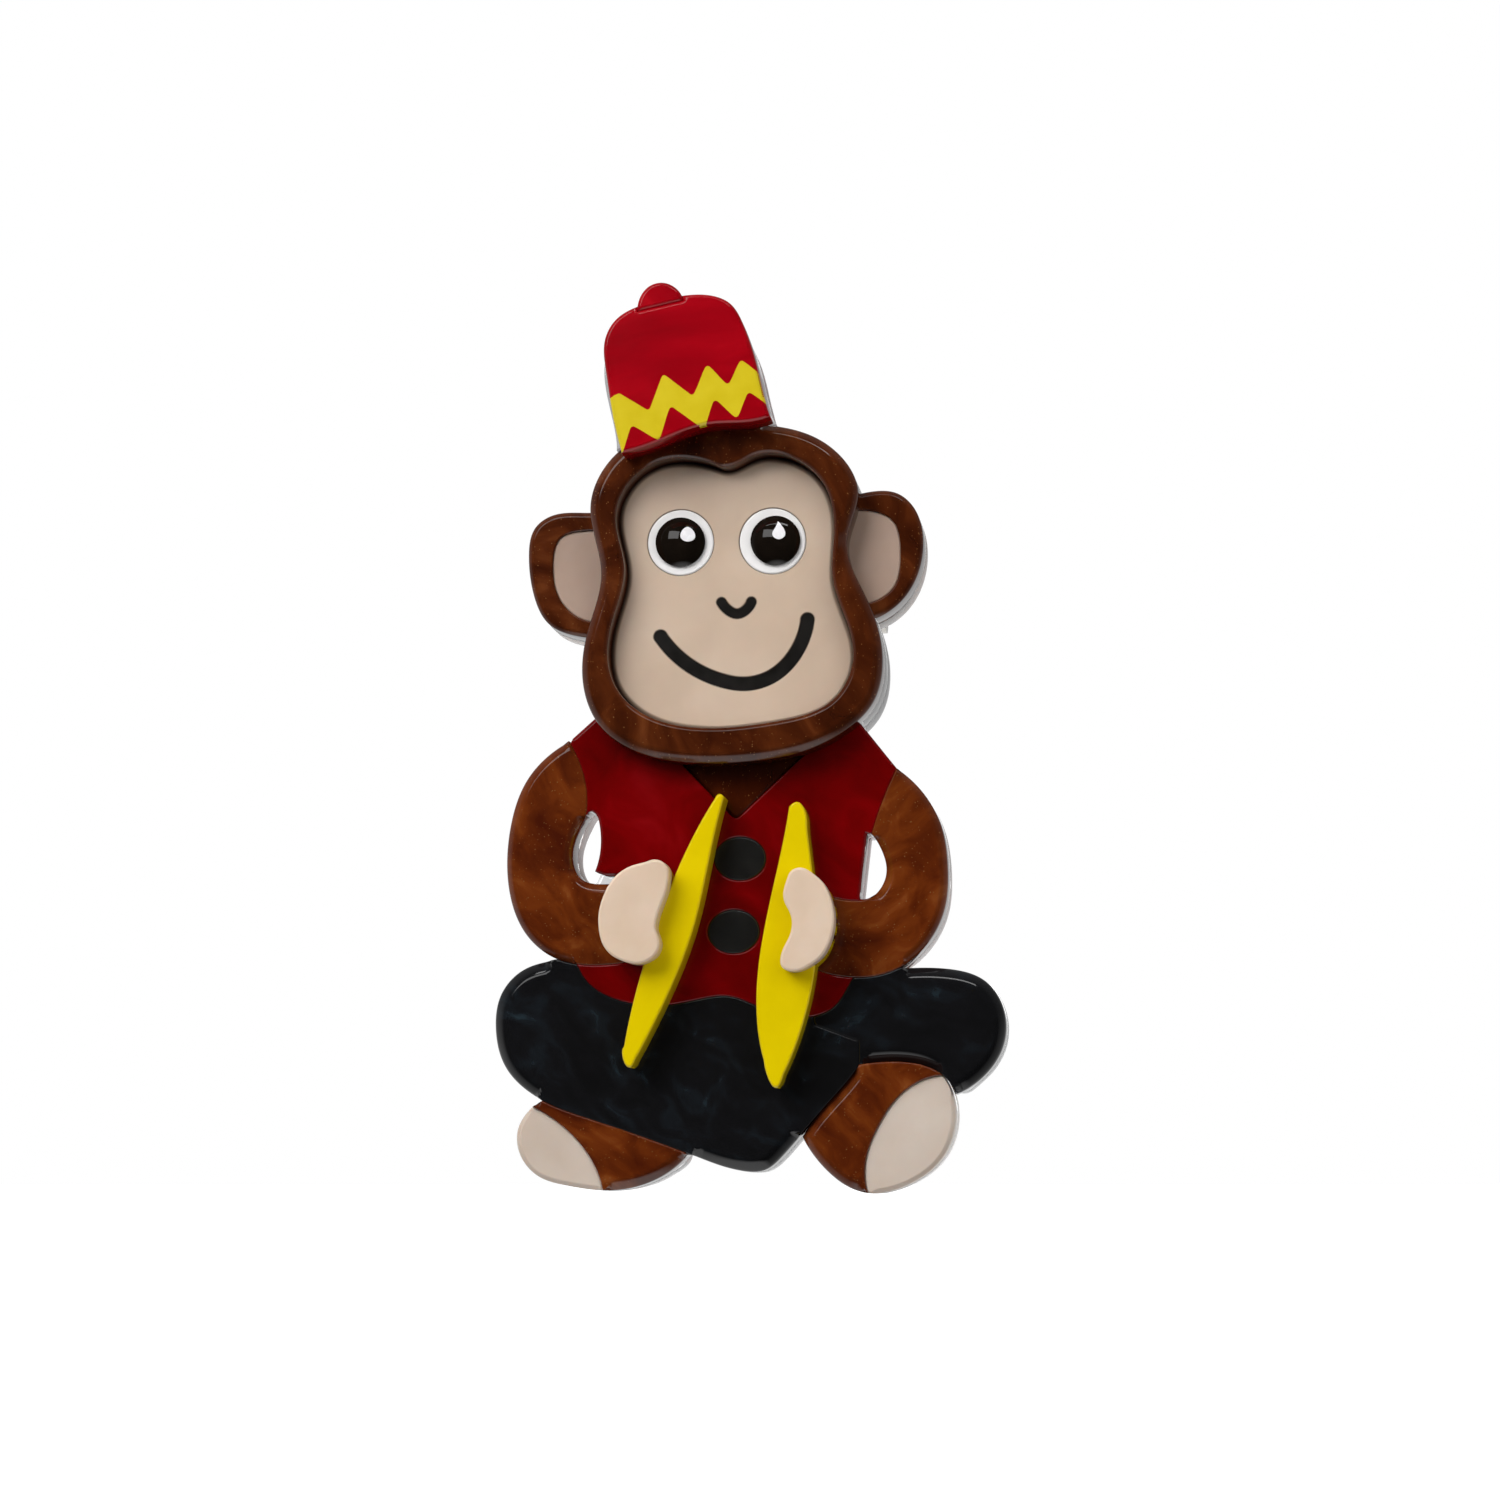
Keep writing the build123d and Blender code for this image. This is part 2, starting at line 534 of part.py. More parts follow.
def bar_glue():
    """The adhesive that rises in the bar's two holes and domes over them."""
    dabs = []
    for x in (-BAR_HOLE_X, BAR_HOLE_X):
        dab = Pos(x, BACK_Y + (BAR_THICKNESS + GLUE_RISE) / 2, 0) * Rot(90, 0, 0) * Cylinder(
            BAR_HOLE_RADIUS, BAR_THICKNESS + GLUE_RISE)
        dabs.append(fillet(dab.faces().sort_by(Axis.Y)[-1].edges(), GLUE_RISE * 0.9))
    return Compound(children=dabs)


# ---------------------------------------------------------------- the whole brooch

def upper_body_outlines():
    return [torso_outline(), *arm_outlines()]


def silhouette_outlines():
    """What the backing plate lies behind."""
    left_ear, _, right_ear, _ = ear_outlines()
    return [head_outline(), left_ear, right_ear, *upper_body_outlines(), front_leg_outline(),
            rear_leg_outline(), left_foot_outline(), right_foot_outline(), hat_spacer_outline()]


def make_brooch():
    parts = {}
    parts.update(head_pieces())
    parts.update(ear_pieces())
    parts.update(hat_pieces())
    parts.update(body_pieces())
    parts.update(leg_pieces())
    parts.update(cymbal_pieces())
    parts.update(clear_pieces())
    parts["pin_base"] = pin_base()
    parts["hinge_rivet"] = hinge_rivet()
    parts["pin_stem"] = pin_stem()
    parts["catch_rotor"] = catch_rotor()
    parts["bar_glue"] = bar_glue()
    return parts


os.makedirs("parts", exist_ok=True)
for node, shape in make_brooch().items():
    export_step(shape, f"parts/{node}.step")
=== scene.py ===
"""The looks of a layered resin brooch: a monkey in a hat, sitting with a pair of cymbals.

Each sheet of resin or acrylic is made again from its CAD outline, with the sloping, polished edges
that a tumbled sheet has. The eyes' domes, the engraving and the bar pin keep their CAD meshes.
Lengths are in millimetres until a mesh is made, and Blender's own are in metres.
"""
import math

import bpy
import numpy as np
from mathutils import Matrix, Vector, geometry


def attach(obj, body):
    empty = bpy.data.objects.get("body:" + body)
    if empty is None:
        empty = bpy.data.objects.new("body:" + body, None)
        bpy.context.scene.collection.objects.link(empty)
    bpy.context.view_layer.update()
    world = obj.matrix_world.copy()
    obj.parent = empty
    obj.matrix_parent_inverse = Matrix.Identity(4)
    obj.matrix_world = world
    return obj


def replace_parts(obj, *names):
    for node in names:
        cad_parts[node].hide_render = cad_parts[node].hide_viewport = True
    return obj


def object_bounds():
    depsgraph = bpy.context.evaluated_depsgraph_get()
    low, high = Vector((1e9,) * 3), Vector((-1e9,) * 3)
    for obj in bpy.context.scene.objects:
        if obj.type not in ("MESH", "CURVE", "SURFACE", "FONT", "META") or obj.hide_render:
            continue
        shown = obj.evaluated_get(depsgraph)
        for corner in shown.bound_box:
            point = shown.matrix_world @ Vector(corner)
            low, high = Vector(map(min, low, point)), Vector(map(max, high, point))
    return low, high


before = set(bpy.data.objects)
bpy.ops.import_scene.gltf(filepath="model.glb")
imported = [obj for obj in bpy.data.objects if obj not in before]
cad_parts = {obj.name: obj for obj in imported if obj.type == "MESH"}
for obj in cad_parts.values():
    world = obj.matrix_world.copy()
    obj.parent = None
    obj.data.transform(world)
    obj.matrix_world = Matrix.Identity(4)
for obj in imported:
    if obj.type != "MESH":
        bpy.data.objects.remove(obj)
CAD_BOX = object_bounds()

MM = 0.001

# How the sheets are cut and finished, in millimetres.
OUTLINE_STEP = 0.16
STRAIGHT_RUN = 2.4
CORNER_TURN = math.radians(24)
SHARP_EDGE = math.radians(35)
SEAM_EDGE = 0.12
CLEAR_EDGE = 0.05
TOUCHING = 0.22
EDGE_BLEND = 0.7
GLUE_BITE = 0.02
INLAY_PROUD = 0.01
LEVEL_SLACK = 0.001
INSET_SLACK = 0.97
POINTS_AT_ONCE = 800

# The slope that polishing leaves along an edge, from the wall to the flat front. Each step is how
# far in and how far down it is, as shares of the slope's width.
POLISHED_SLOPE = [(0.0, 0.80), (0.02, 0.72), (0.07, 0.64), (0.16, 0.54), (0.50, 0.25), (0.78, 0.05),
                  (0.90, 0.01), (1.0, 0.0), (1.12, 0.0)]


# ---------------------------------------------------------------- outlines from the CAD

def cad_triangles(node):
    """A CAD node's points, in millimetres, and the corner numbers of its triangles."""
    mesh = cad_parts[node].data
    points = np.array([vertex.co for vertex in mesh.vertices]) / MM
    return points, np.array([face.vertices[:] for face in mesh.polygons])


def back_loops(node):
    """The closed curves round a sheet's back, as (x, z) points with the sheet on their left."""
    points, faces = cad_triangles(node)
    level = points[:, 1].max() - LEVEL_SLACK
    numbers = {}
    number_of = [numbers.setdefault(tuple(np.round(p[[0, 2]], 4)), len(numbers)) for p in points]
    sides = set()
    for face in faces:
        if (points[face, 1] > level).all():
            a, b, c = (number_of[corner] for corner in face)
            sides |= {(a, b), (b, c), (c, a)}
    following = {b: a for a, b in sides if (b, a) not in sides}
    places = np.array(list(numbers))
    loops = []
    while following:
        loop = [next(iter(following))]
        while loop[-1] in following:
            loop.append(following.pop(loop[-1]))
        loops.append(places[loop[:-1]])
    return [evened(loop) for loop in loops if len(loop) > 3]


def turn_at(loop):
    """How far the curve turns at each of its points, in radians."""
    ahead = np.roll(loop, -1, 0) - loop
    heading = np.arctan2(ahead[:, 1], ahead[:, 0])
    turn = heading - np.roll(heading, 1)
    return (turn + math.pi) % (2 * math.pi) - math.pi


def evened(loop):
    """The same closed curve with points at even steps, smooth from corner to corner."""
    corners = np.flatnonzero(np.abs(turn_at(loop)) > CORNER_TURN)
    if len(corners) == 0:
        return smooth_run(np.vstack([loop, loop[:1]]), closed=True)
    runs = []
    for start, end in zip(corners, np.roll(corners, -1)):
        count = (end - start) % len(loop) or len(loop)
        run = loop[(start + np.arange(count + 1)) % len(loop)]
        runs.append(smooth_run(run, closed=False))
    return np.vstack(runs)


def smooth_run(points, closed):
    """Even steps along a smooth curve through the points, without the last of them."""
    chord = np.diff(points, axis=0)
    length = np.linalg.norm(chord, axis=1)
    slope = chord / length[:, None]
    before = np.vstack([slope[-1:] if closed else slope[:1], slope])
    after = np.vstack([slope, slope[:1] if closed else slope[-1:]])
    weight_before = np.concatenate([[length[-1] if closed else 1], length])
    weight_after = np.concatenate([length, [length[0] if closed else 1]])
    share = (weight_after / (weight_before + weight_after))[:, None]
    tangent = before * share + after * (1 - share)
    dense = []
    for number, size in enumerate(length):
        start, end = points[number], points[number + 1]
        steps = max(1, round(size / OUTLINE_STEP))
        t = (np.arange(steps) / steps)[:, None]
        if size > STRAIGHT_RUN or steps == 1:
            dense.append(start + t * (end - start))
            continue
        leave, arrive = tangent[number] * size, tangent[number + 1] * size
        dense.append((2 * t**3 - 3 * t**2 + 1) * start + (t**3 - 2 * t**2 + t) * leave
                     + (3 * t**2 - 2 * t**3) * end + (t**3 - t**2) * arrive)
    dense = np.vstack([*dense, points[-1:]])
    along = np.concatenate([[0], np.cumsum(np.linalg.norm(np.diff(dense, axis=0), axis=1))])
    count = max(2, round(along[-1] / OUTLINE_STEP))
    at = np.linspace(0, along[-1], count, endpoint=False)
    return np.column_stack([np.interp(at, along, dense[:, axis]) for axis in (0, 1)])


def encloses(loop):
    """Whether the sheet lies within the curve, and not around it."""
    ahead = np.roll(loop, -1, 0)
    return (loop[:, 0] * ahead[:, 1] - ahead[:, 0] * loop[:, 1]).sum() > 0


def outward(loop):
    """The unit vector out of the sheet at each point of a curve."""
    ahead = np.roll(loop, -1, 0) - np.roll(loop, 1, 0)
    normal = np.column_stack([ahead[:, 1], -ahead[:, 0]])
    return normal / np.linalg.norm(normal, axis=1)[:, None]


class PolishedEdge:
    """The slope round a sheet's front: its curves, and the slope's width at each of their points."""

    def __init__(self, loops, slopes, neighbours=(), inner_loops=()):
        self.loops = [*loops, *inner_loops]
        widths = [self.eased(loop, slopes[0] if encloses(loop) else slopes[1], neighbours)
                  for loop in loops]
        widths += [np.full(len(loop), SEAM_EDGE) for loop in inner_loops]
        self.widths = np.concatenate(widths)
        self.starts = np.vstack(self.loops)
        self.ends = np.vstack([np.roll(loop, -1, 0) for loop in self.loops])
        self.normals = np.vstack([outward(loop) for loop in self.loops])

    @staticmethod
    def eased(loop, width, neighbours):
        """The full width, but a seam's where a neighbour touches, with an easy change between."""
        if not len(neighbours):
            return np.full(len(loop), float(width))
        gap = np.sqrt(((loop[:, None] - neighbours[None]) ** 2).sum(2).min(1))
        widths = np.where(gap < TOUCHING, min(SEAM_EDGE, width), width).astype(float)
        for _ in range(round(EDGE_BLEND / OUTLINE_STEP)):
            widths = np.minimum(widths, (np.roll(widths, 1) + widths + np.roll(widths, -1)) / 3)
        return widths

    def nearest(self, points):
        """Each point's distance from the curves, and the slope's width there."""
        along = self.ends - self.starts
        size = (along ** 2).sum(1)
        distances, widths = [], []
        for some in np.array_split(points, max(1, len(points) // POINTS_AT_ONCE)):
            offset = some[:, None] - self.starts[None]
            share = np.clip((offset * along).sum(2) / size, 0, 1)
            gap = ((offset - share[..., None] * along) ** 2).sum(2)
            best = gap.argmin(1)
            distances.append(np.sqrt(gap[np.arange(len(some)), best]))
            widths.append(self.widths[best])
        return np.concatenate(distances), np.concatenate(widths)

    def drop(self, points):
        """How far the sloped front lies behind the flat one at each point, and its share of the rim."""
        distance, width = self.nearest(points)
        inset, fall = np.array(POLISHED_SLOPE).T
        share = distance / width
        return width * np.interp(share, inset, fall), np.clip(1 - share, 0, 1)

    def ring_points(self):
        """Points on the slope, in rows that follow the curves."""
        rows = []
        for share, _ in POLISHED_SLOPE[1:]:
            inset = self.widths * share
            points = self.starts - self.normals * inset[:, None]
            distance, _ = self.nearest(points)
            rows.append(points[distance > INSET_SLACK * inset])
        return np.vstack(rows)


# ---------------------------------------------------------------- meshes

def inside(points, loops):
    """Whether each point is within the curves, by the crossings to its right."""
    starts = np.vstack(loops)
    ends = np.vstack([np.roll(loop, -1, 0) for loop in loops])
    x, z = points[:, 0, None], points[:, 1, None]
    spans = (starts[:, 1] > z) != (ends[:, 1] > z)
    rise = np.where(ends[:, 1] == starts[:, 1], 1, ends[:, 1] - starts[:, 1])
    crossing = starts[:, 0] + (z - starts[:, 1]) / rise * (ends[:, 0] - starts[:, 0])
    return (spans & (crossing > x)).sum(1) % 2 == 1


def triangulated(loops, extra=None):
    """Triangles that fill the curves: their points, their corners, and each curve point's number."""
    fixed = np.vstack(loops)
    points = fixed if extra is None else np.vstack([fixed, extra])
    sides, start = [], 0
    for loop in loops:
        count = len(loop)
        sides += [(start + i, start + (i + 1) % count) for i in range(count)]
        start += count
    made = geometry.delaunay_2d_cdt([Vector(p) for p in points], sides, [], 0, 1e-6)
    places = np.array([tuple(p) for p in made[0]])
    corners = np.array([face for face in made[2] if len(face) == 3])
    centres = places[corners].mean(1)
    corners = corners[inside(centres, loops)]
    a, b, c = (places[corners[:, i]] for i in range(3))
    area = (b[:, 0] - a[:, 0]) * (c[:, 1] - a[:, 1]) - (b[:, 1] - a[:, 1]) * (c[:, 0] - a[:, 0])
    corners[area < 0] = corners[area < 0][:, ::-1]
    number = {old: new for new, olds in enumerate(made[3]) for old in olds}
    return places, corners, [number[i] for i in range(len(fixed))]


def curve_sides(loops, numbers):
    """The numbers of each pair of neighbouring points, curve by curve."""
    start = 0
    for loop in loops:
        ring = numbers[start:start + len(loop)]
        yield from zip(ring, ring[1:] + ring[:1])
        start += len(loop)


def sheet_mesh(name, edge, own_loops, recesses, front, back, recess_depth):
    """A closed sheet with sloping edges in front. Its recesses are pockets with a flat floor."""
    loops = own_loops + recesses
    rings = edge.ring_points()
    rings = rings[inside(rings, loops)]
    places, corners, numbers = triangulated(loops, rings)
    drop, rim = edge.drop(places)
    points = [np.column_stack([places[:, 0], front + drop, places[:, 1]])]
    rims = [rim]
    faces = [tuple(face) for face in corners]

    def add_level(flat_loops, level, facing_front):
        offset = sum(map(len, points))
        flat, flat_corners, flat_numbers = triangulated(flat_loops)
        points.append(np.column_stack([flat[:, 0], np.full(len(flat), level), flat[:, 1]]))
        rims.append(np.full(len(flat), 1.0))
        order = slice(None) if facing_front else slice(None, None, -1)
        faces.extend(tuple(face[order] + offset) for face in flat_corners)
        return [number + offset for number in flat_numbers]

    own_count = sum(map(len, own_loops))
    back_numbers = add_level(own_loops, back, facing_front=False)
    walls = [(own_loops, numbers[:own_count], back_numbers)]
    if recesses:
        floor_numbers = add_level(recesses, front + recess_depth, facing_front=True)
        walls.append((recesses, numbers[own_count:], floor_numbers))
    for wall_loops, near, far in walls:
        for (a, b), (c, d) in zip(curve_sides(wall_loops, near), curve_sides(wall_loops, far)):
            faces.append((a, c, d, b))
    mesh = bpy.data.meshes.new(name)
    mesh.from_pydata(np.vstack(points) * MM, [], faces)
    mesh.validate()
    shade_smooth(mesh)
    rim_attribute = mesh.attributes.new("rim", "FLOAT", "POINT")
    rim_attribute.data.foreach_set("value", np.concatenate(rims).astype(np.float32))
    return mesh


def shade_smooth(mesh):
    """Smooth shading up to the sheet's real edges."""
    mesh.shade_smooth()
    mesh.set_sharp_from_angle(angle=SHARP_EDGE)


def lay_grain(mesh, turn, shift):
    """A UV map in millimetres that says which part of the stock sheet the piece was cut from."""
    angle = math.radians(turn)
    points = np.array([vertex.co for vertex in mesh.vertices]) / MM
    x, z = points[:, 0], points[:, 2]
    u = x * math.cos(angle) - z * math.sin(angle) + shift[0]
    v = x * math.sin(angle) + z * math.cos(angle) + shift[1]
    corners = np.zeros(len(mesh.loops), int)
    mesh.loops.foreach_get("vertex_index", corners)
    grain = mesh.uv_layers.new(name="grain")
    grain.data.foreach_set("uv", np.column_stack([u, v])[corners].astype(np.float32).ravel())


# ---------------------------------------------------------------- materials

PEARL_ROUGHNESS = 0.09
PEARL_WAVES = (5.0, 0.01)
SATIN_ROUGHNESS = 0.32


def linear(colour):
    """An sRGB hex colour as linear red, green, blue and alpha."""
    channels = [int(colour[i:i + 2], 16) / 255 for i in (1, 3, 5)]
    return [c / 12.92 if c <= 0.04045 else ((c + 0.055) / 1.055) ** 2.4 for c in channels] + [1.0]


def add(tree, kind, settings=None, links=None):
    """A shader node. Settings in small letters are its properties, and the others its inputs."""
    made = tree.nodes.new("ShaderNode" + kind)
    for name, value in (settings or {}).items():
        if name == "stops":
            ramp = made.color_ramp.elements
            while len(ramp) < len(value):
                ramp.new(0.5)
            for stop, (position, colour) in zip(ramp, value):
                stop.position, stop.color = position, linear(colour)
        elif isinstance(name, str) and name.islower():
            setattr(made, name, value)
        else:
            made.inputs[name].default_value = value
    for name, source in (links or {}).items():
        tree.links.new(source, made.inputs[name])
    return made


def new_material(name):
    """An empty material's tree, with its output."""
    material = bpy.data.materials.new(name)
    material.use_nodes = True
    material.node_tree.nodes.clear()
    return material, material.node_tree


def finish(tree, shader):
    add(tree, "OutputMaterial", links={"Surface": shader.outputs[0]})


MIX_FACTOR, MIX_A, MIX_B, MIX_RESULT = 0, 6, 7, 2


def mixed(tree, factor, first, second):
    """Two colours mixed. Each is a hex colour or a socket, and so is the factor or a number."""
    settings = {"data_type": "RGBA"}
    links = {}
    for place, value in ((MIX_FACTOR, factor), (MIX_A, first), (MIX_B, second)):
        if isinstance(value, str):
            settings[place] = linear(value)
        elif isinstance(value, (int, float)):
            settings[place] = value
        else:
            links[place] = value
    return add(tree, "Mix", settings, links).outputs[MIX_RESULT]


def ranged(tree, value, low, high, to_low=0.0, to_high=1.0):
    """A value carried from one range to another, and held at its ends."""
    return add(tree, "MapRange", {"From Min": low, "From Max": high, "To Min": to_low,
                                  "To Max": to_high}, {"Value": value}).outputs["Result"]


def rimmed(tree, colour, rim):
    """The colour with another worked in towards the sheet's edge, if one is given with its share."""
    if not rim:
        return colour
    share, rim_colour = rim
    at_rim = add(tree, "Attribute", {"attribute_name": "rim"}).outputs["Fac"]
    return mixed(tree, ranged(tree, at_rim, 0.0, 1.0, 0.0, share), colour, rim_colour)


def warped(tree, place, size, reach):
    """A place in millimetres, pushed about by a slow noise as poured resin is."""
    noise = add(tree, "TexNoise", {"Scale": 1 / size, "Detail": 2.0}, {"Vector": place})
    middle = add(tree, "VectorMath", {"operation": "SUBTRACT", 1: (0.5, 0.5, 0.5)},
                 {0: noise.outputs["Color"]})
    scaled = add(tree, "VectorMath", {"operation": "SCALE", "Scale": reach},
                 {0: middle.outputs["Vector"]})
    moved = add(tree, "VectorMath", {"operation": "ADD"}, {0: place, 1: scaled.outputs["Vector"]})
    return moved.outputs["Vector"]


def polish_waviness(tree, place, size, height):
    """The faint unevenness that hand polishing leaves, as a bumped normal."""
    noise = add(tree, "TexNoise", {"Scale": 1 / size, "Detail": 1.0}, {"Vector": place})
    return add(tree, "Bump", {"Strength": 1.0, "Distance": height * MM},
               {"Height": noise.outputs["Fac"]}).outputs["Normal"]


def pearl_resin(name, stops, streak, warp, rim=None, glitter=None):
    """Poured resin sheet with pearl pigment: streaks as long and as wide as said, bent by the pour.
    It gives a deep gloss over soft lighter veils, and a rim colour, where given, is painted into the
    sloped edges: a painted highlight where it is lighter, painted shade where it is darker."""
    material, tree = new_material(name)
    grain = add(tree, "UVMap", {"uv_map": "grain"}).outputs["UV"]
    bent = warped(tree, grain, *warp)
    length, width = streak
    stretched = add(tree, "Mapping", {"Scale": (1 / length, 1 / width, 1.0)}, {"Vector": bent})
    veils = add(tree, "TexNoise", {"Scale": 1.0, "Detail": 5.0, "Roughness": 0.55},
                {"Vector": stretched.outputs["Vector"]})
    colour = add(tree, "ValToRGB", {"stops": stops}, {"Fac": veils.outputs["Fac"]}).outputs["Color"]
    if glitter:
        flake_size, share, flake_colour = glitter
        flakes = add(tree, "TexVoronoi", {"Scale": 1 / flake_size}, {"Vector": grain})
        lot = add(tree, "SeparateColor", {}, {"Color": flakes.outputs["Color"]}).outputs["Red"]
        shown = ranged(tree, lot, 1 - share, 1 - share / 2)
        colour = mixed(tree, shown, colour, flake_colour)
    colour = rimmed(tree, colour, rim)
    shader = add(tree, "BsdfPrincipled", {"Roughness": PEARL_ROUGHNESS, "IOR": 1.52},
                 {"Base Color": colour, "Normal": polish_waviness(tree, grain, *PEARL_WAVES)})
    finish(tree, shader)
    return material


def satin_resin(name, stops, cloud, rim=None):
    """Cream resin sheet, milky and a little see-through. It gives a soft, even skin with faint
    clouds and a quieter gloss than the pearl sheets."""
    material, tree = new_material(name)
    place = add(tree, "Mapping", {"Scale": (1 / MM,) * 3},
                {"Vector": add(tree, "TexCoord").outputs["Object"]}).outputs["Vector"]
    bent = warped(tree, place, cloud, cloud * 0.5)
    clouds = add(tree, "TexNoise", {"Scale": 1 / cloud, "Detail": 3.0}, {"Vector": bent})
    colour = add(tree, "ValToRGB", {"stops": stops}, {"Fac": clouds.outputs["Fac"]})
    colour = rimmed(tree, colour.outputs["Color"], rim)
    shader = add(tree, "BsdfPrincipled", {
        "Roughness": SATIN_ROUGHNESS, "IOR": 1.5, "Subsurface Weight": 0.25,
        "Subsurface Radius": (1.0, 0.6, 0.4), "Subsurface Scale": 0.8 * MM,
        "Coat Weight": 0.15, "Coat Roughness": 0.1},
        {"Base Color": colour, "Normal": polish_waviness(tree, place, 4.0, 0.012)})
    finish(tree, shader)
    return material


def plain_resin(name, stops, mottle, roughness, height=0.01, coat=0.0, metallic=0.0, rim=None):
    """Plain coloured sheet, paint or metal with a fine mottle. It gives an even colour that is
    never quite flat."""
    material, tree = new_material(name)
    place = add(tree, "Mapping", {"Scale": (1 / MM,) * 3},
                {"Vector": add(tree, "TexCoord").outputs["Object"]}).outputs["Vector"]
    noise = add(tree, "TexNoise", {"Scale": 1 / mottle, "Detail": 4.0}, {"Vector": place})
    colour = add(tree, "ValToRGB", {"stops": stops}, {"Fac": noise.outputs["Fac"]}).outputs["Color"]
    colour = rimmed(tree, colour, rim)
    worn = ranged(tree, noise.outputs["Fac"], 0.3, 0.7, roughness * 0.8, roughness * 1.2)
    shader = add(tree, "BsdfPrincipled", {"IOR": 1.5, "Metallic": metallic, "Coat Weight": coat,
                                          "Coat Roughness": 0.03},
                 {"Base Color": colour, "Roughness": worn,
                  "Normal": polish_waviness(tree, place, mottle * 2, height)})
    finish(tree, shader)
    return material


def clear_acrylic():
    """Cast acrylic sheet, laser cut. It gives bright and dark lines where it looks out past the
    figure, and faint ripples from the laser on its edges."""
    material, tree = new_material("clear_cast_acrylic")
    place = add(tree, "Mapping", {"Scale": (1 / MM, 0.15 / MM, 1 / MM)},
                {"Vector": add(tree, "TexCoord").outputs["Object"]}).outputs["Vector"]
    shader = add(tree, "BsdfPrincipled", {
        "Base Color": linear("#ffffff"), "Roughness": 0.02, "IOR": 1.49, "Transmission Weight": 1.0},
        {"Normal": polish_waviness(tree, place, 0.9, 0.002)})
    finish(tree, shader)
    return material


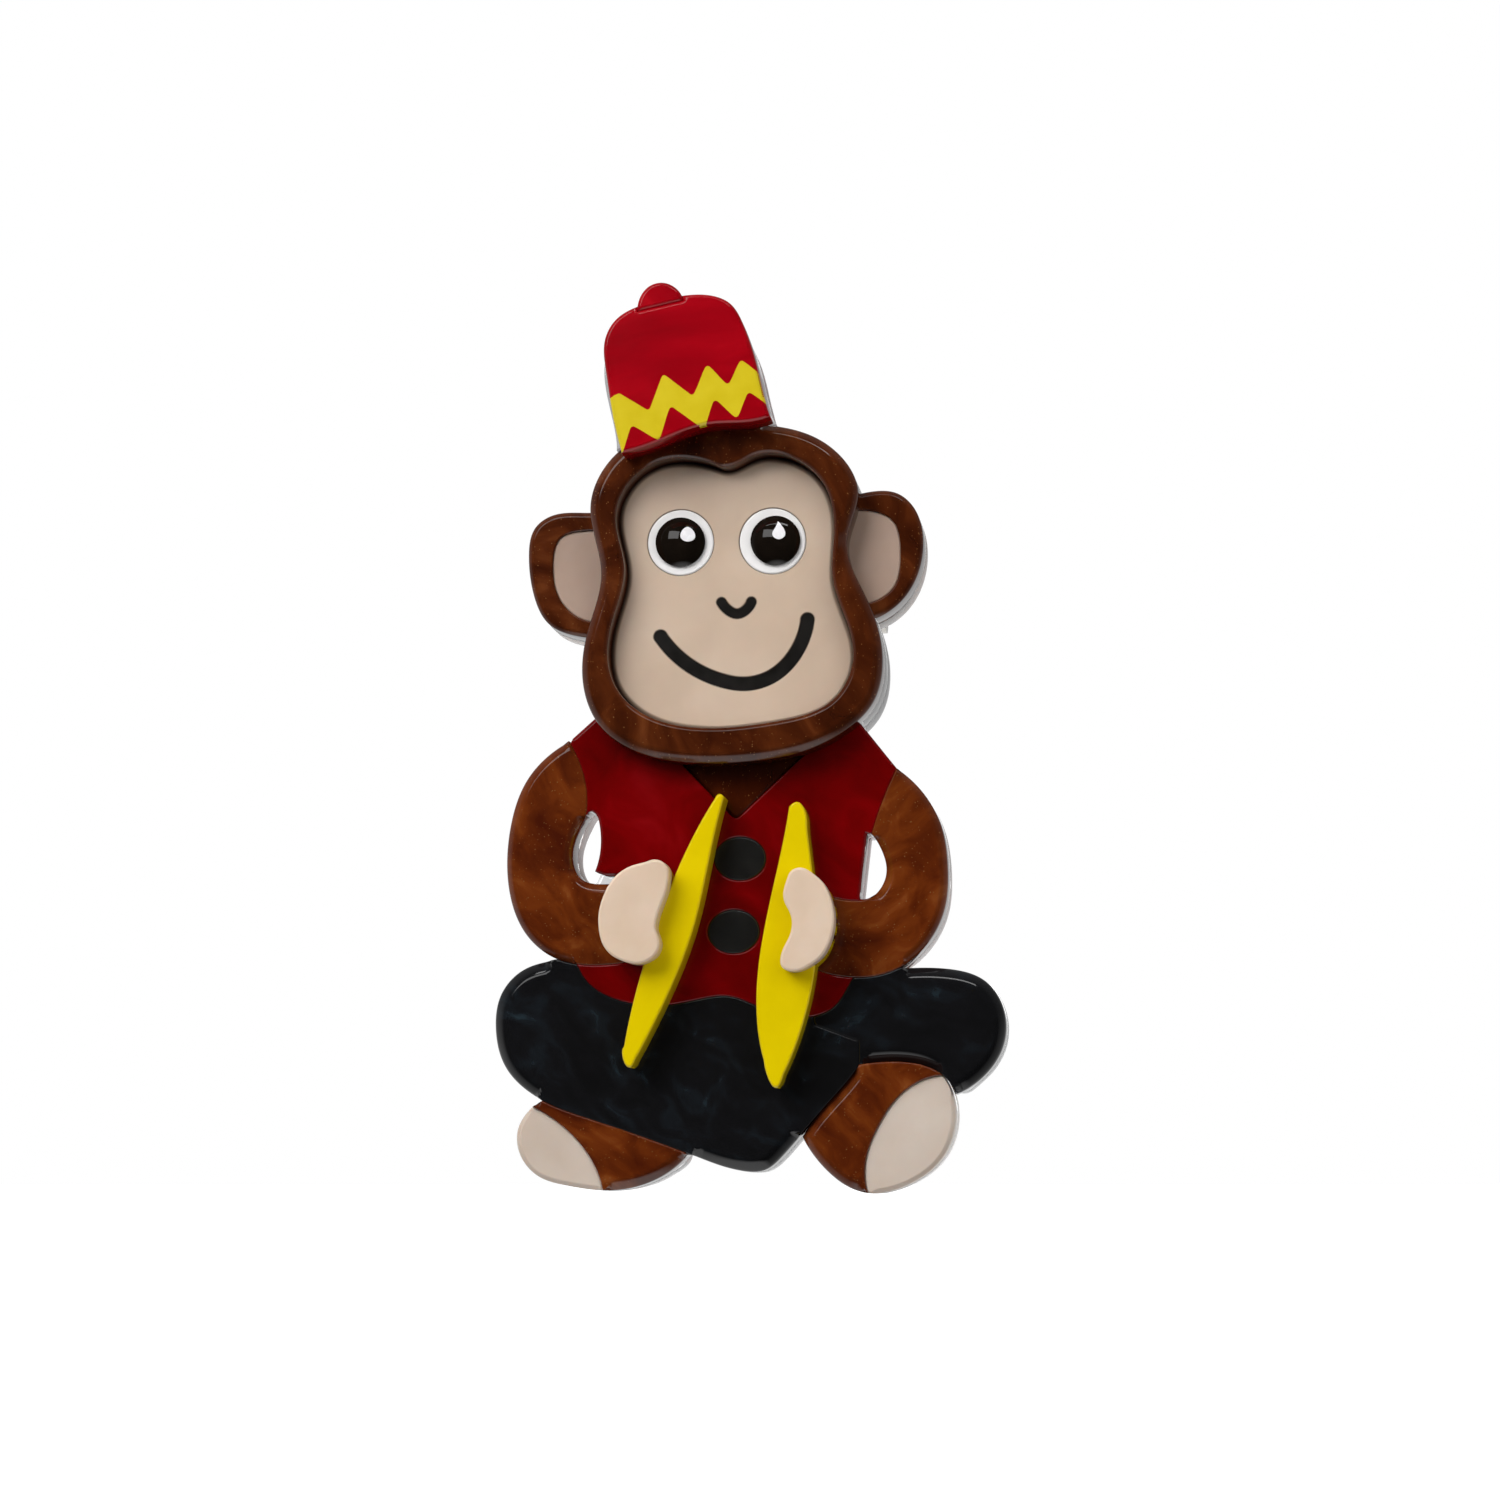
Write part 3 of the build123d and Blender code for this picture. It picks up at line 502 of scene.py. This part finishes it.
GOLD_FLAKE = (0.07, 0.01, "#7c5230")
FINISHES = {
    # The deeper brown of the head and ears, from the dark end of the tortoise sheet, with a painted
    # highlight: a lighter brown worked in along the sloped edges.
    "deep_brown_resin": pearl_resin(
        "deep_tortoise_resin",
        [(0.30, "#311004"), (0.46, "#421a07"), (0.58, "#52240c"), (0.74, "#6e3a1b")],
        streak=(13.0, 2.8), warp=(9.0, 7.0), rim=(0.3, "#5a2d17"), glitter=GOLD_FLAKE),
    # Tortoise brown pearl sheet: warm copper veils in dark brown, with gold dust, and a painted
    # highlight of lighter brown along the sloped edges.
    "brown_resin": pearl_resin(
        "tortoise_pearl_resin",
        [(0.30, "#451606"), (0.46, "#592308"), (0.58, "#6c300d"), (0.74, "#8a4b22")],
        streak=(13.0, 2.8), warp=(9.0, 7.0), rim=(0.3, "#64321a"), glitter=GOLD_FLAKE),
    # The same sheet where it is darkest, set deep in the collar.
    "dark_brown_resin": pearl_resin(
        "dark_tortoise_resin", [(0.3, "#330e01"), (0.55, "#3f1402"), (0.75, "#522005")],
        streak=(7.0, 1.8), warp=(8.0, 4.0), glitter=GOLD_FLAKE),
    # Blood red pearl sheet of the waistcoat, lighter where the pour folded, with a painted highlight of
    # lighter red along the sloped edges.
    "red_resin": pearl_resin(
        "crimson_pearl_resin",
        [(0.3, "#560000"), (0.5, "#6a0001"), (0.62, "#760003"), (0.8, "#860a10")],
        streak=(14.0, 5.0), warp=(12.0, 8.0), rim=(0.25, "#740a10")),
    # Brighter red pearl sheet of the hat, with painted shade: a darker red worked in along the sloped
    # edges.
    "hat_resin": pearl_resin(
        "scarlet_pearl_resin",
        [(0.3, "#8c000c"), (0.5, "#98000f"), (0.65, "#a30212"), (0.8, "#ae0a18")],
        streak=(12.0, 2.4), warp=(8.0, 3.0), rim=(0.25, "#80040c")),
    # Blue-black pearl sheet with thin teal veils, and a painted highlight of lighter grey along the
    # sloped edges.
    "navy_resin": pearl_resin(
        "midnight_pearl_resin",
        [(0.3, "#101011"), (0.52, "#141416"), (0.64, "#191d21"), (0.78, "#2b3940")],
        streak=(6.0, 2.0), warp=(6.0, 6.0), rim=(0.2, "#1b1c1e")),
    # Milky flesh-coloured sheet of the face, with painted shade: dark brown worked in towards its edge
    # for the shadow in the gap round it.
    "face_resin": satin_resin(
        "flesh_resin_painted_gap_shade", [(0.3, "#c9b29c"), (0.5, "#d0b9a3"), (0.7, "#d6c0ab")], cloud=7.0,
        rim=(1.0, "#26120a")),
    # The same sheet in the ears, painted darker as shade, for inner ears that lie low beside the raised
    # head.
    "ear_resin": satin_resin(
        "shaded_flesh_resin", [(0.3, "#a99080"), (0.5, "#b09787"), (0.7, "#b79e8e")], cloud=6.0),
    # The same sheet for the hands, painted paler as light, for hands that lie on top.
    "hand_resin": satin_resin(
        "lit_flesh_satin_resin", [(0.3, "#dcc3aa"), (0.5, "#e2cab3"), (0.7, "#e8d2bd")], cloud=5.0),
    # Whiter satin sheet of the soles.
    "sole_resin": satin_resin(
        "bone_satin_resin", [(0.3, "#cbbaab"), (0.5, "#d2c2b4"), (0.7, "#d8cabd")], cloud=6.0),
    # Lemon yellow sheet of the cymbals, amber where it is cut.
    "yellow_resin": plain_resin(
        "lemon_gloss_resin", [(0.3, "#dcc200"), (0.7, "#e2c800")], 3.0, 0.12,
        rim=(0.35, "#a07c00")),
    # The yellow inlay of the hat, with faint clouds.
    "inlay_yellow": plain_resin(
        "lemon_inlay_resin", [(0.3, "#cdb61a"), (0.7, "#d6c022")], 2.0, 0.12),
    # Black button sheet, polished a little less than the rest, so that its gloss is soft.
    "button_black": plain_resin(
        "rubbed_black_resin", [(0.35, "#181818"), (0.6, "#1c1c1c"), (0.8, "#222221")], 1.2, 0.22,
        height=0.001),
    # White enamelled discs of the eyes.
    "eye_white": plain_resin(
        "white_gloss_resin", [(0.3, "#f0eeed"), (0.7, "#f6f4f3")], 1.5, 0.12),
    # Brown-black domes, as glossy as wet glass.
    "pupil_black": plain_resin(
        "jet_dome_resin", [(0.3, "#130e0a"), (0.7, "#19130e")], 1.0, 0.03, height=0.001),
    # White paint of the drops in the eyes.
    "paint_white": plain_resin(
        "white_eye_paint", [(0.3, "#ecebee"), (0.7, "#f4f3f5")], 0.4, 0.25, height=0.004),
    # Black paint that fills the engraved nose and mouth.
    "paint_black": plain_resin(
        "black_engraving_paint", [(0.3, "#0a0806"), (0.7, "#120e0b")], 0.8, 0.35, height=0.002),
    # Nickel-plated steel of the bar pin, with a fine rolled grain.
    "pin_metal": plain_resin(
        "nickel_plated_steel", [(0.3, "#b4b1ab"), (0.7, "#c8c5bf")], 0.25, 0.24, height=0.002,
        metallic=1.0),
    # Dabs of set adhesive, yellowish and half clear.
    "glue": plain_resin(
        "set_adhesive", [(0.3, "#cfc9b4"), (0.7, "#dad5c4")], 0.5, 0.3, coat=0.5),
    "clear_acrylic": clear_acrylic(),
}


# ---------------------------------------------------------------- the sheets

# For each sheet: its finish, the slope along its free edge and along its hole's, and the turn and
# place of its cut in the stock.
SHEETS = {
    "head_ring": ("deep_brown_resin", (0.85, 0.35), 70, (0, 0)),
    "left_ear": ("deep_brown_resin", (0.45, 0.45), 20, (40, 8)),
    "right_ear": ("deep_brown_resin", (0.45, 0.45), 60, (80, -15)),
    "left_arm": ("brown_resin", (0.75, 0.75), 60, (21, 33)),
    "right_arm": ("brown_resin", (0.75, 0.75), -35, (60, 52)),
    "left_foot": ("brown_resin", (0.9, 0.9), 30, (130, 4)),
    "right_foot": ("brown_resin", (0.9, 0.9), 50, (150, 40)),
    "chest": ("dark_brown_resin", (0.3, 0.3), 80, (0, 0)),
    "vest": ("red_resin", (0.3, 0.3), 40, (0, 0)),
    "hat": ("hat_resin", (0.28, 0.28), -10, (0, 0)),
    "hat_pompom": ("hat_resin", (0.28, 0.28), 40, (30, 0)),
    "front_trouser_leg": ("navy_resin", (1.1, 1.1), 30, (0, 0)),
    "rear_trouser_leg": ("navy_resin", (1.1, 1.1), 10, (40, 12)),
    "left_cymbal": ("yellow_resin", (0.16, 0.16), 0, (0, 0)),
    "right_cymbal": ("yellow_resin", (0.16, 0.16), 0, (0, 0)),
    "left_hand": ("hand_resin", (0.2, 0.2), 0, (0, 0)),
    "right_hand": ("hand_resin", (0.2, 0.2), 0, (0, 0)),
    "left_inner_ear": ("ear_resin", (0.2, 0.2), 0, (0, 0)),
    "right_inner_ear": ("ear_resin", (0.2, 0.2), 0, (0, 0)),
    "left_sole": ("sole_resin", (0.4, 0.4), 0, (0, 0)),
    "right_sole": ("sole_resin", (0.4, 0.4), 0, (0, 0)),
    "upper_button": ("button_black", (0.15, 0.15), 0, (0, 0)),
    "lower_button": ("button_black", (0.15, 0.15), 0, (0, 0)),
    "left_eye_white": ("eye_white", (0.12, 0.12), 0, (0, 0)),
    "right_eye_white": ("eye_white", (0.12, 0.12), 0, (0, 0)),
    "face": ("face_resin", (0.45, 0.45), 0, (0, 0)),
    "backing_plate": ("clear_acrylic", (CLEAR_EDGE, CLEAR_EDGE), 0, (0, 0)),
    "head_spacer": ("clear_acrylic", (CLEAR_EDGE, CLEAR_EDGE), 0, (0, 0)),
    "hat_spacer": ("clear_acrylic", (CLEAR_EDGE, CLEAR_EDGE), 0, (0, 0)),
    "left_hand_spacer": ("clear_acrylic", (CLEAR_EDGE, CLEAR_EDGE), 0, (0, 0)),
    "right_hand_spacer": ("clear_acrylic", (CLEAR_EDGE, CLEAR_EDGE), 0, (0, 0)),
}

# Sheets glued edge to edge, which meet in a seam and not in two full slopes.
BUTTED = ["left_ear", "right_ear", "left_inner_ear", "right_inner_ear", "left_arm", "right_arm",
          "left_foot", "right_foot", "left_sole", "right_sole", "vest", "chest",
          "front_trouser_leg", "rear_trouser_leg"]

# A piece that keeps its full slope along a neighbour, because it was finished before gluing.
FULL_ALONG = {"chest": ["vest"], "right_foot": ["front_trouser_leg"], "left_arm": ["front_trouser_leg"],
              "rear_trouser_leg": ["right_foot"]}

# Discs and filled engraving let into the sheet around them.
POCKETS = {"vest": ["upper_button", "lower_button"],
           "face": ["left_eye_white", "right_eye_white", "nose", "mouth"]}


def add_piece(name, mesh, finish_name):
    """An object for the mesh, in its finish, that rides on the brooch."""
    piece = bpy.data.objects.new(name, mesh)
    bpy.context.scene.collection.objects.link(piece)
    mesh.materials.append(FINISHES[finish_name])
    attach(piece, "root")
    return piece


def make_sheets():
    """Every sheet, with its edges polished where they are free."""
    loops = {node: back_loops(node) for node in (*SHEETS, "hat_zigzag", "nose", "mouth")}
    levels = {node: cad_triangles(node)[0][:, 1] for node in loops}
    edges = {}
    for node, (finish_name, slopes, turn, shift) in SHEETS.items():
        others = [other for other in BUTTED
                  if node in BUTTED and other != node and other not in FULL_ALONG.get(node, ())]
        neighbours = np.vstack([loop for other in others for loop in loops[other]]) if others else ()
        pockets = [loop[::-1] for inlay in POCKETS.get(node, ()) for loop in loops[inlay]]
        edges[node] = PolishedEdge(loops[node], slopes, neighbours, pockets)
        front, back = levels[node].min(), levels[node].max() + GLUE_BITE
        depth = levels[POCKETS[node][0]].max() - front if pockets else 0
        mesh = sheet_mesh(node, edges[node], loops[node], pockets, front, back, depth)
        lay_grain(mesh, turn, shift)
        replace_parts(add_piece(node + "_polished", mesh, finish_name), node)
    # The hat's lightning band was let in before the hat was polished, so it shares the hat's edge.
    front, back = levels["hat_zigzag"].min() - INLAY_PROUD, levels["hat_zigzag"].max()
    mesh = sheet_mesh("hat_zigzag", edges["hat"], loops["hat_zigzag"], [], front, back, 0)
    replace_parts(add_piece("hat_zigzag_polished", mesh, "inlay_yellow"), "hat_zigzag")


def dress_cad_nodes():
    """The finishes of the nodes that keep their CAD meshes."""
    dressed = {"nose": "paint_black", "mouth": "paint_black",
               "pin_base": "pin_metal", "hinge_rivet": "pin_metal", "pin_stem": "pin_metal",
               "catch_rotor": "pin_metal", "bar_glue": "glue"}
    for side in ("left", "right"):
        dressed[f"{side}_pupil"] = "pupil_black"
        dressed[f"{side}_eye_glint"] = "paint_white"
    for node, finish_name in dressed.items():
        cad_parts[node].data.materials.clear()
        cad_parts[node].data.materials.append(FINISHES[finish_name])


# ---------------------------------------------------------------- studio

MIDDLE = Vector((1.2, -9.0, -12.8)) * MM
CAMERA_DISTANCE = 0.300
CAMERA_AZIMUTH = 6.0
CAMERA_ELEVATION = -6.6
LENS = 90
SENSOR = 36
FLOOR_HALF = 3.0


def direction(azimuth, elevation):
    """The unit vector towards a place in the room. Azimuth 0 is in front, and 90 is on the right."""
    a, e = math.radians(azimuth), math.radians(elevation)
    return Vector((math.sin(a) * math.cos(e), -math.cos(a) * math.cos(e), math.sin(e)))


def aim(thing, azimuth, elevation, distance):
    """Puts a camera or a lamp there, looking at the middle of the brooch."""
    out = direction(azimuth, elevation)
    thing.location = MIDDLE + out * distance
    thing.rotation_euler = (-out).to_track_quat("-Z", "Y").to_euler()
    bpy.context.scene.collection.objects.link(thing)


def softbox(name, azimuth, elevation, distance, size, power, mirrored=True):
    """A rectangular soft light. One that isn't mirrored lights the brooch but leaves no reflection."""
    lamp = bpy.data.lights.new(name, "AREA")
    lamp.shape, lamp.size, lamp.size_y, lamp.energy = "RECTANGLE", size[0], size[1], power
    lamp_object = bpy.data.objects.new(name, lamp)
    lamp_object.visible_glossy = mirrored
    aim(lamp_object, azimuth, elevation, distance)


def studio_floor():
    """A white table, lit and a little luminous, so that it stays pale under the brooch."""
    bottom = CAD_BOX[0].z
    mesh = bpy.data.meshes.new("studio_floor")
    mesh.from_pydata([(x * FLOOR_HALF, y * FLOOR_HALF, bottom)
                      for x, y in ((-1, -1), (1, -1), (1, 1), (-1, 1))], [], [(0, 1, 2, 3)])
    material, tree = new_material("white_table")
    shader = add(tree, "BsdfPrincipled", {
        "Base Color": linear("#e0e0e0"), "Roughness": 0.9, "Specular IOR Level": 0.1,
        "Emission Color": linear("#ffffff"), "Emission Strength": 1.0})
    finish(tree, shader)
    mesh.materials.append(material)
    floor = bpy.data.objects.new("studio_floor", mesh)
    bpy.context.scene.collection.objects.link(floor)
    # The table is a backdrop only: the brooch is lit by the softboxes and the room.
    floor.visible_diffuse = floor.visible_glossy = False


def studio_world():
    """A white room behind and straight below the brooch and a dim one in front of it, which the
    camera itself sees as white."""
    world = bpy.data.worlds.new("studio")
    bpy.context.scene.world = world
    world.use_nodes = True
    tree = world.node_tree
    tree.nodes.clear()
    split = add(tree, "SeparateXYZ", {}, {0: add(tree, "TexCoord").outputs["Generated"]})
    behind = ranged(tree, split.outputs["Y"], -0.35, 0.25)
    below = ranged(tree, split.outputs["Z"], 0.3, -0.2, 0.3, 1.0)
    bright = add(tree, "Math", {"operation": "MULTIPLY"}, {0: behind, 1: below}).outputs["Value"]
    table = ranged(tree, split.outputs["Z"], -0.80, -0.90)
    glow = add(tree, "Math", {"operation": "MAXIMUM"}, {0: bright, 1: table}).outputs["Value"]
    strength = ranged(tree, glow, 0.0, 1.0, 0.015, 1.1)
    room = add(tree, "Background", {"Color": linear("#ffffff")}, {"Strength": strength})
    seen = add(tree, "Background", {"Color": linear("#ffffff"), "Strength": 1.0})
    choose = add(tree, "MixShader", {}, {0: add(tree, "LightPath").outputs["Is Camera Ray"],
                                         1: room.outputs[0], 2: seen.outputs[0]})
    add(tree, "OutputWorld", {}, {"Surface": choose.outputs[0]})


def studio():
    studio_floor()
    studio_world()
    softbox("key_softbox", -38, 32, 0.55, (0.50, 0.42), 2.7, mirrored=False)
    softbox("fill_softbox", 42, 8, 0.60, (0.50, 0.60), 1.9, mirrored=False)
    softbox("low_softbox", -20, -42, 0.60, (0.60, 0.40), 0.8, mirrored=False)
    softbox("top_strip", 0, 62, 0.50, (0.50, 0.05), 0.4)
    softbox("window_card", -27, 29, 0.55, (0.30, 0.22), 0.55)
    lens = bpy.data.cameras.new("camera")
    lens.lens, lens.sensor_width = LENS, SENSOR
    lens.clip_start = 0.001
    camera = bpy.data.objects.new("camera", lens)
    aim(camera, CAMERA_AZIMUTH, CAMERA_ELEVATION, CAMERA_DISTANCE)
    bpy.context.scene.camera = camera
    bpy.context.scene.view_settings.view_transform = "Standard"


make_sheets()
dress_cad_nodes()
studio()
